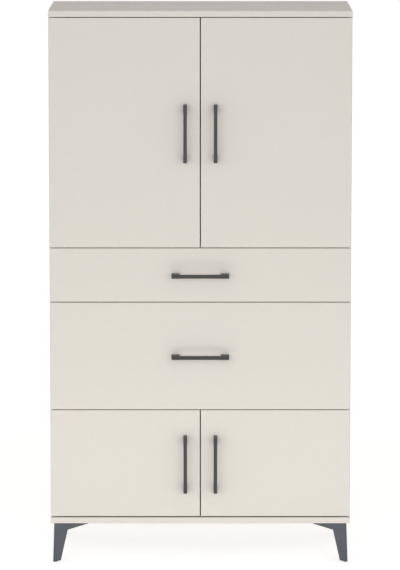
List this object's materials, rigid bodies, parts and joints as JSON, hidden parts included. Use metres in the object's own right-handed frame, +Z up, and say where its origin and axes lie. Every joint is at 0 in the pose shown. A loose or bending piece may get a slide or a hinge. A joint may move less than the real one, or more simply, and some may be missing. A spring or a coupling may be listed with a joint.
{
  "type": "tall storage cabinet with doors and drawers",
  "caption": "Tall free-standing melamine cabinet with upper and lower hinged doors, full-width drawers between them, dark bar handles and splayed corner legs.",
  "frame": {"origin": "on the floor, under the middle of the whole object with its handles", "axes": "+Z up, the fronts face -Y, +X to the right as seen from the front"},
  "size_m": [0.9, 0.434, 1.664],
  "materials": {
    "melamine": "chipboard faced and edged with matt warm light grey melamine",
    "drawer_board": "drawer box board with matt light grey foil",
    "thin_board": "3 mm hardboard, light grey on its face",
    "beech": "fluted beech dowel",
    "handle": "satin anthracite coat",
    "leg_paint": "matt blue-grey anthracite powder coat",
    "glide": "moulded black plastic",
    "bumper": "soft translucent dot",
    "plated_steel": "bright zinc or nickel plate"
  },
  "bodies": {
    "carcass": {"top_panel": "melamine", "bottom_panel": "melamine", "left_side_panel": "melamine", "right_side_panel": "melamine", "upper_divider": "melamine", "lower_divider": "melamine", "shelf": "melamine", "shelf_pins": "plated_steel", "upper_back": "thin_board", "lower_back": "thin_board", "back_nails": "plated_steel", "cam_bolts": "plated_steel", "cam_locks": "plated_steel", "dowels": "beech", "front_left_leg": "leg_paint", "front_right_leg": "leg_paint", "rear_left_leg": "leg_paint", "rear_right_leg": "leg_paint", "leg_glides": "glide", "cabinet_screws": "plated_steel", "hinge_arms": "plated_steel", "hinge_plates": "plated_steel", "slide_cabinet_members": "plated_steel", "bumpers": "bumper"},
    "upper_left_door": {"upper_left_door": "melamine", "upper_left_handle": "handle", "upper_left_hinge_cups": "plated_steel", "upper_left_screws": "plated_steel"},
    "upper_right_door": {"upper_right_door": "melamine", "upper_right_handle": "handle", "upper_right_hinge_cups": "plated_steel", "upper_right_screws": "plated_steel"},
    "lower_left_door": {"lower_left_door": "melamine", "lower_left_handle": "handle", "lower_left_hinge_cups": "plated_steel", "lower_left_screws": "plated_steel"},
    "lower_right_door": {"lower_right_door": "melamine", "lower_right_handle": "handle", "lower_right_hinge_cups": "plated_steel", "lower_right_screws": "plated_steel"},
    "upper_drawer": {"upper_drawer_front": "melamine", "upper_drawer_handle": "handle", "upper_drawer_left_side": "drawer_board", "upper_drawer_right_side": "drawer_board", "upper_drawer_back": "drawer_board", "upper_drawer_bottom": "thin_board", "upper_drawer_slide_members": "plated_steel", "upper_drawer_fasteners": "plated_steel"},
    "upper_drawer_middle": {"upper_drawer_middle_members": "plated_steel"},
    "lower_drawer": {"lower_drawer_front": "melamine", "lower_drawer_handle": "handle", "lower_drawer_left_side": "drawer_board", "lower_drawer_right_side": "drawer_board", "lower_drawer_back": "drawer_board", "lower_drawer_bottom": "thin_board", "lower_drawer_slide_members": "plated_steel", "lower_drawer_fasteners": "plated_steel"},
    "lower_drawer_middle": {"lower_drawer_middle_members": "plated_steel"}
  },
  "joints": [
    {"name": "upper_left_door_swing", "type": "hinge", "parent": "carcass", "child": "upper_left_door", "pos_m": [-0.4408, -0.1732, 1.301], "axis": [0, 0, -1], "range_deg": [0, 100]},
    {"name": "upper_right_door_swing", "type": "hinge", "parent": "carcass", "child": "upper_right_door", "pos_m": [0.4408, -0.1732, 1.301], "axis": [0, 0, 1], "range_deg": [0, 100]},
    {"name": "lower_left_door_swing", "type": "hinge", "parent": "carcass", "child": "lower_left_door", "pos_m": [-0.4408, -0.1732, 0.304], "axis": [0, 0, -1], "range_deg": [0, 100]},
    {"name": "lower_right_door_swing", "type": "hinge", "parent": "carcass", "child": "lower_right_door", "pos_m": [0.4408, -0.1732, 0.304], "axis": [0, 0, 1], "range_deg": [0, 100]},
    {"name": "upper_drawer_travel", "type": "slide", "parent": "carcass", "child": "upper_drawer", "axis": [0, -1, 0], "range_m": [0, 0.35]},
    {"name": "upper_drawer_middle_travel", "type": "slide", "parent": "carcass", "child": "upper_drawer_middle", "axis": [0, -1, 0], "range_m": [0, 0.175]},
    {"name": "lower_drawer_travel", "type": "slide", "parent": "carcass", "child": "lower_drawer", "axis": [0, -1, 0], "range_m": [0, 0.35]},
    {"name": "lower_drawer_middle_travel", "type": "slide", "parent": "carcass", "child": "lower_drawer_middle", "axis": [0, -1, 0], "range_m": [0, 0.175]}
  ],
  "couplings": [
    {"joint": "upper_drawer_middle_travel", "follows": "upper_drawer_travel", "ratio": 0.5},
    {"joint": "lower_drawer_middle_travel", "follows": "lower_drawer_travel", "ratio": 0.5}
  ]
}
